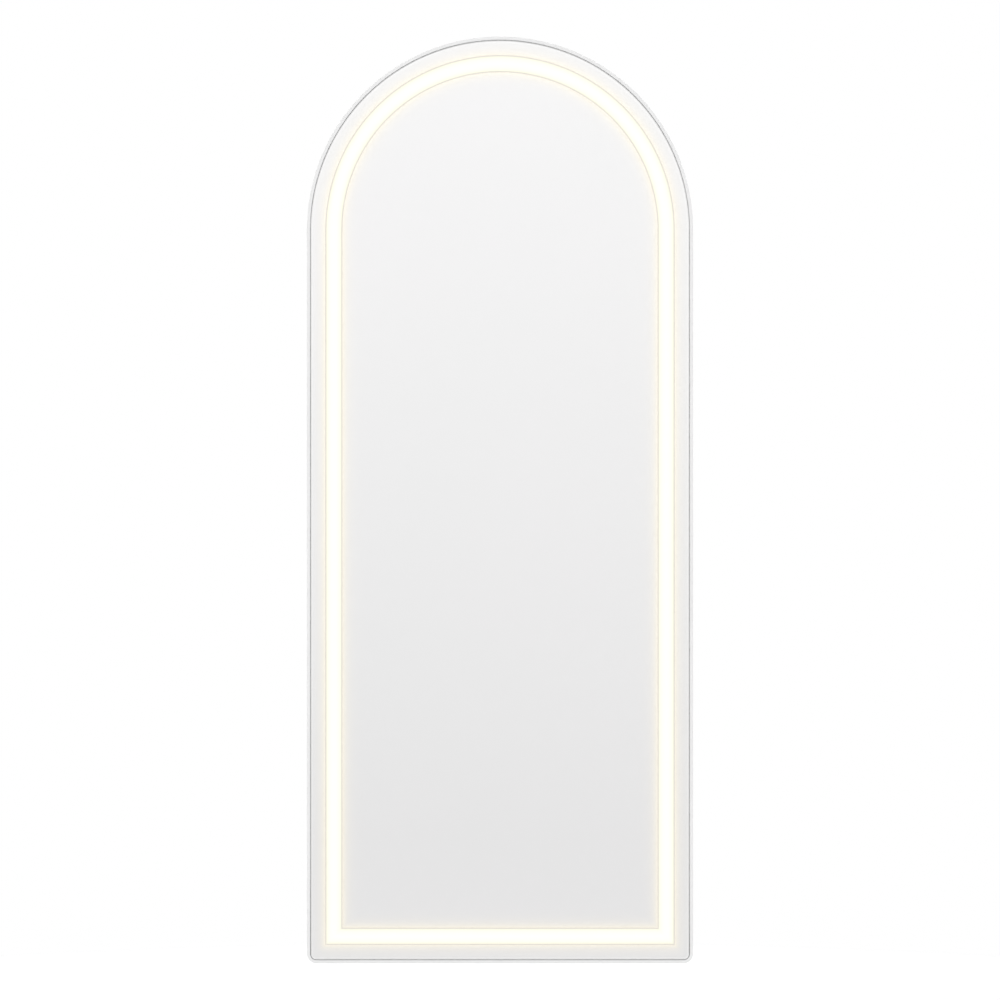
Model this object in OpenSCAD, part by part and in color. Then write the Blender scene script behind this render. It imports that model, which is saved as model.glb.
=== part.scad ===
/* [Overall] */
// Width over the frame
mirror_w = 762; // [720:1:840]
// Height over the frame
mirror_h = 1829; // [1700:1:2000]
// Outer radius of the frame's two bottom corners
corner_r = 19; // [19:0.5:40]

/* [Frame] */
// Depth of the frame profile, front face to rear edge
frame_depth = 40; // [39:0.5:50]
// Width of the face seen from the front
face_w = 6.3; // [4:0.1:7]
// Thickness of the profile's walls
frame_wall = 1.6; // [1.2:0.1:2]
// Rounding of the profile's outer edges
edge_r = 1; // [0.5:0.1:1.2]
// Open line between the frame's face and the glass
reveal = 1.2; // [0.8:0.1:1.6]
// How far the ledge reaches in under the glass
ledge_w = 9; // [7:0.5:10]
// Width of the rear flange that takes the back panel
flange_w = 14; // [12:0.5:16]
// Gap left at the frame's one joint
seam = 0.2; // [0.1:0.05:0.4]

/* [Glass] */
// Thickness of the glass
glass_t = 5; // [4:0.5:6]
// How far the glass lies behind the frame's face
glass_set = 0.5; // [0.2:0.1:1]
// Silver, paint and safety film behind the glass
backing_t = 0.3; // [0.2:0.05:0.5]
// Bonding tape between the backing and the ledge
tape_t = 0.8; // [0.5:0.1:1.2]
// Glass edge to the lit band
band_inset = 29.7; // [26:0.1:40]
// Width of the lit band
band_w = 31.5; // [24:0.1:36]

/* [Back] */
// Frame's rear edge to the wall
wall_gap = 2; // [1.5:0.1:4]
// Back panel's rear face to the wall
hang_depth = 8.8; // [8.7:0.05:9.2]
// Thickness of the back panel
panel_t = 3; // [2:0.5:4]
// Panel edge to the frame's inside
panel_clear = 0.4; // [0.2:0.1:1]
// Inset of the panel's screws from the frame's outside
screw_inset = 8; // [7:0.5:9]
// Screws down each side
side_screws = 6; // [4:1:8]
// Screws round the arch
arch_screws = 6; // [4:1:10]

/* [Light channel] */
// Sheet of the channel
channel_wall = 1.2; // [0.8:0.1:1.5]
// Channel wall beyond the lit band, on each side
channel_margin = 4; // [3:0.5:6]
// Thickness of the diffuser
diffuser_t = 2; // [1.5:0.1:3]
// Width of the light strip
strip_w = 8; // [6:0.5:10]
// Distance from one diode to the next
led_pitch = 33.3; // [20:0.1:50]

/* [Hanging] */
// Fixing holes below the springing of the arch
rail_drop = 148; // [100:1:300]
// Length of the wall rail
rail_len = 560; // [480:5:640]
// Sheet of both hanging bars
bar_t = 2; // [1.8:0.1:2.2]
// Length of the lips that hook together
hook_len = 12; // [10:0.5:16]
// Distance between the outer fixing holes, two wall studs
stud_pitch = 406.4; // [380:0.1:440]
// Radius of the fixing holes
fix_r = 2.75; // [2:0.05:3.5]
// Lower brace above the foot of the frame
brace_height = 220; // [150:5:320]

/* [Electrics] */
// Width of the wiring box
box_w = 240; // [230:1:280]
// Height of the wiring box
box_h = 110; // [104:1:140]
// Middle of the wiring box above the foot of the frame
box_height = 740; // [500:5:900]
// Radius of the cable bush's bore
bush_bore_r = 7; // [5:0.1:8]
// Height of the push button above the foot of the frame
button_height = 1110; // [900:5:1250]
// Radius of the push button
button_r = 5; // [4:0.1:6]
// Travel of the push button
button_travel = 1.2; // [0.8:0.1:1.5]

/* [Hidden] */
$fn = 96;

// The model is drawn face on: x to the right, y up, z out from the wall. The middle of the
// wall rail's fixing holes is the origin, on the face of the wall.
half_w = mirror_w / 2;
spring_y = rail_drop;
foot_y = spring_y + half_w - mirror_h;

// Levels out from the wall
front_z = wall_gap + frame_depth;
glass_front = front_z - glass_set;
glass_back = glass_front - glass_t;
backing_back = glass_back - backing_t;
ledge_front = backing_back - tape_t;
panel_back = hang_depth;
panel_front = panel_back + panel_t;
flange_front = panel_front + frame_wall;

// Insets from the outside of the frame
glass_inset = face_w + reveal;
ledge_end = glass_inset + ledge_w;
band_out = glass_inset + band_inset;
band_in = band_out + band_w;
channel_out = band_out - channel_margin;
channel_in = band_in + channel_margin;
panel_inset = frame_wall + panel_clear;

// Small clearances. Cuts run past a face by over, and what is one solid overlaps by weld
fit = 0.05;
slip = 0.1;
touch = 0.3;
hole_slack = 0.1;
over = 1;
weld = 0.5;

// Light channel: its ribs carry the diffuser, and the strip runs on its outer wall
diffuser_gap = 1;
diffuser_front = backing_back - diffuser_gap;
diffuser_back = diffuser_front - diffuser_t;
rib = 1.5;
strip_t = 0.5;
chip = 3;
chip_t = 1;
chip_end = 12;
link_len = 14;
link_t = 1.8;
rivet_r = 1.6;
rivet_cap = [3.6, 1.4];
rivet_dome = 6;
rivet_head = 1.2;
rivet_swell = 0.8;

// Hooks: the wall rail's lip stands behind the hanger bar's, each between the other and its plate
hook_offset = (hang_depth + touch) / 2;
rail_plate = 28;
shelf_y = rail_plate / 2;
rail_lip_top = shelf_y + bar_t + hook_len;
hanger_lip_foot = shelf_y + bar_t + touch;
hanger_shelf_y = rail_lip_top + 4;
hanger_plate = 28;
hanger_mid = hanger_shelf_y + hanger_plate / 2;
hanger_len = mirror_w - 2 * (frame_wall + panel_clear);
hanger_pair = 14;
backing_half = half_w - channel_in - 4;
backing_h = 24;

// Screws: head radius, head height, shank radius
screw = [3.4, 2, 1.75];
big_screw = [4.2, 2.4, 2.1];
screw_hole = screw[2] + hole_slack;
big_hole = big_screw[2] + hole_slack;
rivet_hole = rivet_r + fit;
screw_len = 9;
long_screw = 12;

// Bonding tape inside the ledge's edge, and the seal behind the glass's face
tape_edge = 1;
seal_set = 0.8;

// Frame's splice, setting blocks and the panel's vents
splice_half = 46;
splice_w = 11;
splice_t = 2;
block_len = 60;
vent_w = 4;
vent_len = 32;
vent_pitch = 14;
vent_rise = 60;

// Lower brace
brace_y = foot_y + brace_height;
brace_crown = 24;
brace_flange = 10;
brace_t = 1.5;
bumper_t = 3;
bumper_r = 9;
bumper_x = half_w - 60;

// Wiring box
box_y = foot_y + box_height;
sheet = 1;
box_flange = 13;
tray_front = backing_back - 4;
tray_floor = tray_front - sheet;
knockout_r = 11.1;
bush_flange = 2;
bush_lip = 2.5;
bush_neck = 4;
bush_barb = 0.8;
bush_taper = 0.6;
bush_x = -box_w / 2 + 38;
bush_y = box_y - 26;
driver = [150, 40, 17];
driver_x = 8;
driver_y = box_y + box_h / 2 - 8 - driver[1] / 2;
driver_back = tray_floor - driver[2];
driver_ear = 12;
ear_w = 20;
ear_t = 3;
terminal_x = -10;
terminal_y = box_y - box_h / 2 + 20;
terminal = [34, 20, 14];
way = 11;
clamp = [2, 4];
wire_slack = 0.5;
earth_x = 48;
earth_y = terminal_y;
earth_r = 2;
earth_stud = 11;
earth_nut = 3.2;
earth_lock = 1.5;
lead_r = 1.2;
cable_r = 2.2;
cable_hole = cable_r + hole_slack;
bush_wall = 1;
bush_rim = 2.4;
bush_rim_t = 1.5;
cable_z = panel_front + 5;
feed_y = box_y - 6;
switch_y = feed_y - 12;
strip_z = cable_z + cable_r + 0.7;
hub = [24, 26, 20];
hub_x = box_w / 2 - 30;
hub_y = (feed_y + switch_y) / 2;
plug_in = 5;

// Push button, measured in from the frame's right side
button_y = foot_y + button_height;
button_z = (flange_front + ledge_front - frame_wall) / 2;
cap_sink = 0.2;
cap_shoulder_u = frame_wall + touch;
cap_shoulder_t = 1.2;
cap_shoulder_r = button_r + 1.5;
cap_stem_r = 2.5;
cap_bore_end = cap_shoulder_u + cap_shoulder_t + button_travel + 0.8;
cap_stem_end = cap_bore_end + 3.6;
housing_end = cap_stem_end + button_travel + slip;
switch_u = cap_stem_end + button_travel + touch;
switch_t = 4.5;
switch_w = 7;
plunger_r = 1.5;
plunger_in = 1.2;
board_u = switch_u + switch_t;
board_t = 1.6;
board_h = 40;
board_w = 15;
housing_w = 17;
housing_h = 24;
arm_y = 14;
arm_t = 4;
arm_w = 10;
gap_x = half_w - (ledge_end + channel_out) / 2;

// Turns a face on shape upright, with the wall behind it
module upright() rotate([90, 0, 0]) children();

// A slab of a face on outline between two levels
module slab(z0, z1) translate([0, 0, z0]) linear_extrude(z1 - z0) children();

// Outline of the mirror, set in all round. The foot is square unless r is given
module outline(inset, r = 0) {
    half = half_w - inset;
    foot = foot_y + inset;
    translate([0, spring_y]) circle(r = half);
    translate([-half, foot + r]) square([2 * half, spring_y - foot - r]);
    if (r > 0) {
        translate([-half + r, foot]) square([2 * (half - r), 2 * r]);
        for (s = [-1, 1]) translate([s * (half - r), foot + r]) circle(r = r);
    }
}

module ring(outer, inner) difference() {
    outline(outer);
    outline(inner);
}

module round_ring(outer, inner) difference() {
    outline(outer, corner_r - outer);
    outline(inner, corner_r - inner);
}

// The part of a ring that one run takes: arch, left, right or bottom, mitred at the foot
module run(which) {
    deep = channel_in + 10;
    if (which == "arch") translate([-half_w, spring_y + fit]) square([mirror_w, half_w]);
    if (which == "bottom") polygon([
        [-half_w, foot_y], [half_w, foot_y], [half_w - deep, foot_y + deep], [deep - half_w, foot_y + deep]
    ]);
    if (which == "left") side_run(deep);
    if (which == "right") mirror([1, 0]) side_run(deep);
}

module side_run(deep) polygon([
    [-half_w, foot_y + touch], [deep - half_w, foot_y + deep + touch],
    [deep - half_w, spring_y - fit], [-half_w, spring_y - fit]
]);

// Square corner with its outer edge rounded, to take off a profile
module corner_waste(r) difference() {
    square(r + 1);
    circle(r);
}

// Profile of the frame: x is 0 at its outside and runs negative inwards, y is the level
module frame_profile() difference() {
    union() {
        translate([-frame_wall, wall_gap]) square([frame_wall, frame_depth]);
        translate([-face_w, front_z - frame_wall]) square([face_w, frame_wall]);
        translate([-face_w, ledge_front - frame_wall])
            square([frame_wall, front_z - ledge_front + frame_wall]);
        translate([-ledge_end, ledge_front - frame_wall]) square([ledge_end, frame_wall]);
        translate([-flange_w, panel_front]) square([flange_w, frame_wall]);
    }
    translate([-edge_r, front_z - edge_r]) corner_waste(edge_r);
    translate([-edge_r / 2, wall_gap + edge_r / 2]) mirror([0, 1]) corner_waste(edge_r / 2);
    translate([-face_w + edge_r / 2, front_z - edge_r / 2]) mirror([1, 0]) corner_waste(edge_r / 2);
}

// Sweeps a profile round the frame, with the one joint at the middle of the foot
module sweep() {
    translate([0, spring_y, 0]) rotate_extrude(angle = 180) translate([half_w, 0]) children();
    for (s = [0, 1]) mirror([s, 0, 0]) {
        translate([0, spring_y, 0]) rotate([90, 0, 0])
            linear_extrude(spring_y - foot_y - corner_r) translate([half_w, 0]) children();
        translate([half_w - corner_r, foot_y + corner_r, 0]) rotate([0, 0, -90])
            rotate_extrude(angle = 90) translate([corner_r, 0]) children();
        translate([half_w - corner_r, foot_y, 0]) rotate([90, 0, -90])
            linear_extrude(half_w - corner_r - seam / 2) children();
    }
}

// Places of the screws that hold the panel to the frame's rear flange
bar_clear = 40;
foot_screw_x = half_w * 0.55;
splice_screw_x = [13, 34];
hanger_step = backing_half * 0.28;
rivet_rows = 5;
first_rivet = 0.6;
rivet_angles = [20:35:160];
foot_rivet_x = half_w * 0.4;
box_screw_y = box_h * 0.36;
function clear_of_bars(y) = abs(y - hanger_mid) > bar_clear && abs(y - brace_y) > bar_clear;
function clear_of_button(s, y) = s < 0 || abs(y - button_y) > board_h / 2 + screw[0] + 2;
side_pitch = (spring_y - foot_y) / (side_screws + 0.5);
panel_spots = concat(
    [for (i = [0.5:side_screws], s = [-1, 1]) let (y = foot_y + i * side_pitch)
        if (clear_of_bars(y) && clear_of_button(s, y)) [s * (half_w - screw_inset), y]],
    [for (i = [0.5:arch_screws]) let (a = i * 180 / arch_screws)
        [(half_w - screw_inset) * cos(a), spring_y + (half_w - screw_inset) * sin(a)]],
    [for (s = [-1, 1]) [s * foot_screw_x, foot_y + screw_inset]]
);
splice_spots = [for (s = [-1, 1], x = splice_screw_x) [s * x, foot_y + screw_inset]];
hanger_end_spots = [for (s = [-1, 1], t = [-1, 1])
    [s * (half_w - screw_inset), hanger_mid + t * hanger_pair / 2]];
hanger_mid_spots = [for (i = [-3:2:3]) [i * hanger_step, hanger_mid]];
brace_spots = [for (s = [-1, 1], t = [-1, 1])
    [s * (half_w - screw_inset), brace_y + t * (brace_crown + brace_flange) / 2]];
flange_spots = concat(panel_spots, splice_spots, hanger_end_spots, brace_spots);
channel_mid = (channel_out + channel_in) / 2;
rivet_spots = concat(
    [for (i = [0:rivet_rows - 1], s = [-1, 1])
        let (y = foot_y + (i + first_rivet) * (spring_y - foot_y) / rivet_rows)
        if (clear_of_bars(y)) [s * (half_w - channel_mid), y]],
    [for (a = rivet_angles) [(half_w - channel_mid) * cos(a), spring_y + (half_w - channel_mid) * sin(a)]],
    [for (s = [-1, 1]) [s * foot_rivet_x, foot_y + channel_mid]]
);
box_spots = concat(
    [for (s = [-1, 1], t = [-1, 1]) [s * (box_w + box_flange) / 2, box_y + t * box_screw_y]],
    [for (s = [-1, 1]) [0, box_y + s * (box_h + box_flange) / 2]]
);

// Holes from one level to the next, at a list of places
module drill(spots, r, z0, z1) for (p = spots)
    translate([p[0], p[1], z0 - over]) cylinder(r = r, h = z1 - z0 + 2 * over);

// Screw with a domed head and a cross recess: its head lies behind z = 0 and its shank runs forwards
module pan_screw(size, length) {
    dome = 2.2 * size[0];
    recess = [1.1 * size[0], 0.9, 0.6 * size[1]];
    difference() {
        intersection() {
            translate([0, 0, dome - size[1]]) sphere(dome);
            translate([0, 0, -size[1]]) cylinder(r = size[0], h = size[1]);
        }
        for (a = [0, 90]) rotate(a)
            translate([-recess[0] / 2, -recess[1] / 2, -size[1] - over]) cube(recess + [0, 0, over]);
    }
    cylinder(r = size[2], h = length);
}

module screws(spots, size, z, length) for (p = spots) translate([p[0], p[1], z]) pan_screw(size, length);

// Frame and what joins its ends
module frame() color("whitesmoke") upright() difference() {
    sweep() frame_profile();
    drill(flange_spots, screw_hole, panel_front, flange_front);
    translate([half_w - frame_wall - over, button_y, button_z]) rotate([0, 90, 0])
        cylinder(r = button_r + slip, h = frame_wall + 2 * over);
}

module frame_splice() color("silver") upright() difference() {
    translate([-splice_half, foot_y + frame_wall + fit, flange_front]) {
        cube([2 * splice_half, splice_w, splice_t]);
        cube([2 * splice_half, splice_t, ledge_front - frame_wall - fit - flange_front]);
    }
    drill(splice_spots, screw_hole, flange_front, flange_front + splice_t);
}

module splice_screws() color("silver") upright() screws(splice_spots, screw, panel_back, screw_len);

// Glass: one sheet, silvered behind except for the band, which is etched
module mirror_glass() color("lightcyan") upright()
    slab(glass_back, glass_front) outline(glass_inset, corner_r - glass_inset);

module silver_centre() color("gainsboro") upright() slab(backing_back, glass_back) outline(band_in);

module silver_border() color("gainsboro") upright() slab(backing_back, glass_back) difference() {
    outline(glass_inset, corner_r - glass_inset);
    outline(band_out);
}

module frosted_band() color("white") upright() slab(backing_back, glass_back) ring(band_out, band_in);

module glass_tape() color("dimgray") upright()
    slab(ledge_front, backing_back) round_ring(glass_inset, ledge_end - tape_edge);

module edge_seal() color("dimgray") upright()
    slab(glass_back + glass_t / 2, glass_front - seal_set) round_ring(face_w + fit, glass_inset - fit);

module setting_blocks() color("dimgray") upright() for (s = [-1, 1])
    translate([s * half_w / 2 - block_len / 2, foot_y + face_w, backing_back])
        cube([block_len, reveal, glass_t / 2 - fit + backing_t]);

// Back panel, with its opening for the wiring box and its vents above that
module vent_slot() {
    straight = vent_len - vent_w;
    translate([-vent_w / 2, -straight / 2]) square([vent_w, straight]);
    for (s = [-1, 1]) translate([0, s * straight / 2]) circle(vent_w / 2);
}

module back_panel() color("white") upright() difference() {
    slab(panel_back, panel_front) outline(panel_inset, corner_r - panel_inset);
    translate([-box_w / 2 - touch, box_y - box_h / 2 - touch, panel_back - over])
        cube([box_w + 2 * touch, box_h + 2 * touch, panel_t + 2 * over]);
    drill(concat(flange_spots, box_spots), screw_hole, panel_back, panel_front);
    drill(hanger_mid_spots, big_hole, panel_back, panel_front);
    drill(rivet_spots, rivet_hole, panel_back, panel_front);
    for (i = [-4:4]) translate([i * vent_pitch, box_y + box_h / 2 + vent_rise, 0])
        slab(panel_back - over, panel_front + over) vent_slot();
}

module panel_screws() color("silver") upright() screws(panel_spots, screw, panel_back, screw_len);

// Light channel: base, two walls, and ribs that carry the diffuser
module channel(which) color("lightgray") upright() difference() {
    union() {
        slab(panel_front, panel_front + channel_wall) intersection() {
            ring(channel_out, channel_in);
            run(which);
        }
        slab(panel_front, diffuser_front) intersection() {
            union() {
                ring(channel_out, channel_out + channel_wall);
                ring(channel_in - channel_wall, channel_in);
            }
            run(which);
        }
        slab(diffuser_back - channel_wall, diffuser_back - fit) intersection() {
            union() {
                ring(channel_out, channel_out + channel_wall + rib);
                ring(channel_in - channel_wall - rib, channel_in);
            }
            run(which);
        }
    }
    drill(rivet_spots, rivet_hole, panel_front, panel_front + channel_wall);
    for (s = [-1, 1]) translate([s * (half_w - channel_in), feed_y, cable_z]) rotate([0, 90, 0])
        cylinder(r = cable_hole, h = 4 * channel_wall, center = true);
    translate([half_w - channel_in - over, switch_y, cable_z]) rotate([0, 90, 0])
        cylinder(r = cable_hole, h = channel_in - channel_out + 2 * over);
}

// Blind rivet: domed head behind z = 0, shank through the panel and the channel, formed head inside.
// The dome's sphere is turned so that its poles lie off the dome.
module rivet() {
    intersection() {
        translate([0, 0, rivet_dome - rivet_cap[1]]) rotate([90, 0, 0]) sphere(rivet_dome);
        translate([0, 0, -rivet_cap[1]]) cylinder(r = rivet_cap[0], h = rivet_cap[1]);
    }
    cylinder(r = rivet_r, h = panel_t + channel_wall + weld);
    translate([0, 0, panel_t + channel_wall]) cylinder(r = rivet_r + rivet_swell, h = rivet_head);
}

module channel_rivets() color("silver") upright()
    for (p = rivet_spots) translate([p[0], p[1], panel_back]) rivet();

// Light strips: a band on the channel's outer wall, with its diodes facing in
strip_out = channel_out + channel_wall + fit;
strip_in = strip_out + strip_t;
side_chips = floor((spring_y - foot_y - channel_in) / led_pitch);
arch_chips = floor(PI * (half_w - strip_in) / led_pitch);
foot_chips = floor((mirror_w - 2 * channel_in) / led_pitch);

module one_chip() translate([-chip_t, -chip / 2, strip_z + (strip_w - chip) / 2])
    cube([chip_t + slip, chip, chip]);

module strip_band(which) slab(strip_z, strip_z + strip_w) intersection() {
    ring(strip_out, strip_in);
    run(which);
}

module led_strip_arch() color("ivory") upright() {
    strip_band("arch");
    for (i = [0:arch_chips - 1]) translate([0, spring_y, 0]) rotate((i + 0.5) * 180 / arch_chips)
        translate([half_w - strip_in, 0, 0]) one_chip();
}

module side_strip(which) {
    strip_band(which);
    for (i = [0:side_chips - 1]) let (y = spring_y - chip_end - i * led_pitch)
        if (abs(y - feed_y) > cable_r + chip) mirror([which == "left" ? 1 : 0, 0, 0])
            translate([half_w - strip_in, y, 0]) one_chip();
}

module led_strip_left() color("ivory") upright() side_strip("left");

module led_strip_right() color("ivory") upright() side_strip("right");

module led_strip_bottom() color("ivory") upright() {
    strip_band("bottom");
    for (i = [0:foot_chips]) translate([(i - foot_chips / 2) * led_pitch, foot_y + strip_in, 0])
        rotate(-90) one_chip();
}

// Clips that carry the current from one strip to the next, at the springing and at the foot
module strip_links() color("white") upright() for (s = [0, 1]) mirror([s, 0, 0])
    translate([half_w - strip_in - fit, 0, strip_z - 1]) {
        translate([-link_t, spring_y - link_len / 2, 0]) cube([link_t - slip, link_len, strip_w + 2]);
        translate([-link_t, foot_y + strip_in + slip, 0]) cube([link_t, link_len / 2, strip_w + 2]);
        translate([-link_len / 2, foot_y + strip_in + slip, 0]) cube([link_len / 2, link_t, strip_w + 2]);
    }

module diffuser(which) color("white") upright() slab(diffuser_back, diffuser_front) intersection() {
    ring(channel_out + channel_wall + slip, channel_in - channel_wall - slip);
    run(which);
}

// Bars that hook together. Each section is drawn with x as height and y as level
module bar(length) rotate([90, 0, 90]) linear_extrude(length, center = true) children();

module wall_rail() color("silver") upright() difference() {
    bar(rail_len) {
        translate([-rail_plate / 2, 0]) square([rail_plate + bar_t, bar_t]);
        translate([shelf_y, 0]) square([bar_t, hook_offset + bar_t]);
        translate([shelf_y, hook_offset]) square([bar_t + hook_len, bar_t]);
    }
    for (k = [-1, -0.5, 0.5, 1]) translate([k * stud_pitch / 2, 0, -1]) cylinder(r = fix_r, h = bar_t + 2);
}

module hanger_bar() color("silver") upright() difference() {
    bar(hanger_len) {
        translate([hanger_shelf_y, panel_back - bar_t]) square([hanger_plate, bar_t]);
        translate([hanger_shelf_y, panel_back - hook_offset - bar_t]) square([bar_t, hook_offset + bar_t]);
        translate([hanger_lip_foot, panel_back - hook_offset - bar_t])
            square([hanger_shelf_y + bar_t - hanger_lip_foot, bar_t]);
    }
    drill(hanger_end_spots, screw_hole, panel_back - bar_t, panel_back);
    drill(hanger_mid_spots, big_hole, panel_back - bar_t, panel_back);
}

module hanger_backing() color("silver") upright() difference() {
    translate([-backing_half, hanger_mid - backing_h / 2, panel_front])
        cube([2 * backing_half, backing_h, bar_t]);
    drill(hanger_mid_spots, big_hole, panel_front, panel_front + bar_t);
}

module hanger_screws() color("silver") upright() {
    screws(hanger_end_spots, screw, panel_back - bar_t, screw_len + bar_t);
    screws(hanger_mid_spots, big_screw, panel_back - bar_t, long_screw);
}

// Lower brace: a hat section across the foot, with the bumpers on its crown
module lower_brace() color("silver") upright() difference() {
    bar(hanger_len) translate([brace_y, 0]) {
        for (s = [0, 1]) mirror([s, 0]) {
            translate([brace_crown / 2, panel_back - brace_t]) square([brace_flange, brace_t]);
            translate([brace_crown / 2 - brace_t, bumper_t]) square([brace_t, panel_back - bumper_t]);
        }
        translate([-brace_crown / 2, bumper_t]) square([brace_crown, brace_t]);
    }
    drill(brace_spots, screw_hole, panel_back - brace_t, panel_back);
}

module brace_screws() color("silver") upright()
    screws(brace_spots, screw, panel_back - brace_t, screw_len + brace_t);

module wall_bumpers() color("dimgray") upright() for (s = [-1, 1])
    translate([s * bumper_x, brace_y, 0]) cylinder(r1 = bumper_r - 1, r2 = bumper_r, h = bumper_t);

// Wiring box: a tray through the panel, with its flange behind it
module wiring_box() color("lightgray") upright() difference() {
    union() {
        translate([-box_w / 2 - box_flange, box_y - box_h / 2 - box_flange, panel_back - sheet])
            cube([box_w + 2 * box_flange, box_h + 2 * box_flange, sheet]);
        translate([-box_w / 2, box_y - box_h / 2, panel_back - sheet])
            cube([box_w, box_h, tray_front - panel_back + sheet]);
    }
    translate([-box_w / 2 + sheet, box_y - box_h / 2 + sheet, panel_back - sheet - over])
        cube([box_w - 2 * sheet, box_h - 2 * sheet, tray_floor - panel_back + sheet + over]);
    drill(box_spots, screw_hole, panel_back - sheet, panel_back);
    for (b = bush_spots) translate([b[0] * box_w / 2, b[1], cable_z]) rotate([0, 90, 0])
        cylinder(r = cable_r + bush_wall + hole_slack, h = 4 * sheet, center = true);
    drill([[earth_x, earth_y]], earth_r + hole_slack, tray_floor, tray_front);
    drill(driver_spots, screw_hole, tray_floor, tray_front);
}

module box_cover() color("whitesmoke") upright() difference() {
    translate([-box_w / 2 - box_flange, box_y - box_h / 2 - box_flange, panel_back - 2 * sheet])
        cube([box_w + 2 * box_flange, box_h + 2 * box_flange, sheet]);
    drill(box_spots, screw_hole, panel_back - 2 * sheet, panel_back - sheet);
    drill([[bush_x, bush_y]], knockout_r, panel_back - 2 * sheet, panel_back - sheet);
}

module box_screws() color("silver") upright() screws(box_spots, screw, panel_back - 2 * sheet, screw_len);

// Snap in bush: flange behind the cover, neck through it and a barbed end inside
module cable_bush() color("dimgray") upright()
    translate([bush_x, bush_y, panel_back - 2 * sheet]) difference() {
    union() {
        translate([0, 0, -bush_flange]) cylinder(r = knockout_r + bush_lip, h = bush_flange);
        cylinder(r = knockout_r - slip, h = bush_neck);
        translate([0, 0, sheet + slip])
            cylinder(r1 = knockout_r + bush_barb, r2 = knockout_r - bush_taper, h = bush_neck - sheet - slip);
    }
    translate([0, 0, -bush_flange - over]) cylinder(r = bush_bore_r, h = bush_flange + bush_neck + 2 * over);
}

// Driver: a sealed case with an ear at each end
driver_spots = [for (s = [-1, 1]) [driver_x + s * (driver[0] + driver_ear) / 2, driver_y]];

module led_driver() color("white") upright() difference() {
    union() {
        translate([driver_x - driver[0] / 2, driver_y - driver[1] / 2, driver_back]) cube(driver);
        translate([driver_x - driver[0] / 2 - driver_ear, driver_y - ear_w / 2, tray_floor - ear_t])
            cube([driver[0] + 2 * driver_ear, ear_w, ear_t]);
    }
    drill(driver_spots, screw_hole, tray_floor - ear_t, tray_floor);
}

module driver_screws() color("silver") upright()
    screws(driver_spots, screw, tray_floor - ear_t, ear_t + sheet + 1);

// Terminal block: three ways, each with a clamp screw's well and a wire hole on both sides
module terminal_block() color("white") upright()
    translate([terminal_x, terminal_y, tray_floor]) difference() {
    translate([-terminal[0] / 2, -terminal[1] / 2, -terminal[2]]) cube(terminal);
    for (i = [-1:1]) translate([i * way, 0, 0]) {
        for (s = [-1, 1]) translate([0, s * terminal[1] / 4, -terminal[2] - over])
            cylinder(r = clamp[0], h = clamp[1] + over);
        translate([0, 0, -terminal[2] / 2]) rotate([90, 0, 0])
            cylinder(r = lead_r + wire_slack, h = terminal[1] + 2 * over, center = true);
    }
}

module earth_terminal() color("gold") upright() translate([earth_x, earth_y, 0]) {
    translate([0, 0, tray_floor - earth_stud]) cylinder(r = earth_r, h = earth_stud + sheet + earth_lock);
    translate([0, 0, tray_floor - earth_nut]) cylinder(r = 2 * earth_r, h = earth_nut, $fn = 6);
    translate([0, 0, tray_front]) cylinder(r = 1.8 * earth_r, h = earth_lock);
}

// Hub that shares the driver's output between the strips and takes the button's cable
module output_hub() color("ivory") upright() difference() {
    translate([hub_x - hub[0] / 2, hub_y - hub[1] / 2, tray_floor - hub[2]]) cube(hub);
    for (y = [feed_y, switch_y]) translate([hub_x, y, cable_z]) rotate([0, 90, 0])
        cylinder(r = cable_hole, h = hub[0] + 2 * over, center = true);
    translate([hub_x, hub_y + 2, output_z]) rotate([-90, 0, 0]) cylinder(r = cable_hole, h = hub[1]);
}

// Bushes in the sides of the wiring box: which side, and how high
bush_spots = [[-1, feed_y], [1, feed_y], [1, switch_y]];

module box_bushes() color("dimgray") upright() for (b = bush_spots)
    translate([b[0] * box_w / 2, b[1], cable_z]) rotate([0, b[0] * 90, 0]) difference() {
        union() {
            cylinder(r = cable_r + bush_rim, h = bush_rim_t);
            translate([0, 0, -2 * bush_rim_t]) cylinder(r = cable_r + bush_wall, h = 3 * bush_rim_t);
        }
        translate([0, 0, -2 * bush_rim_t - over]) cylinder(r = cable_r + fit, h = 3 * bush_rim_t + 2 * over);
    }

// Corner cutting: each pass replaces a bend by two points nearer its neighbours
function cut(p) = concat(
    [p[0]],
    [for (i = [0:len(p) - 2], t = [0.25, 0.75]) p[i] * (1 - t) + p[i + 1] * t],
    [p[len(p) - 1]]
);
function unit(v) = v / norm(v);
function heading(p, i) = unit(p[min(i + 1, len(p) - 1)] - p[max(i - 1, 0)]);
function ring_points(p, i, r, n) =
    let (t = heading(p, i), side = unit(cross(t, [0, 0, 1])), up = cross(side, t))
    [for (k = [0:n - 1]) p[i] + r * (side * cos(k * 360 / n) + up * sin(k * 360 / n))];

// Round wire along a route, as one closed tube
module tube(route, r, n = 8) {
    p = cut(cut(route));
    points = [for (i = [0:len(p) - 1]) each ring_points(p, i, r, n)];
    last = (len(p) - 1) * n;
    faces = concat(
        [[for (k = [0:n - 1]) k]],
        [for (i = [0:len(p) - 2], k = [0:n - 1]) let (a = i * n + k, b = i * n + (k + 1) % n)
            each [[a, a + n, b], [b, a + n, b + n]]],
        [[for (k = [n - 1:-1:0]) last + k]]
    );
    polyhedron(points, faces);
}

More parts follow.
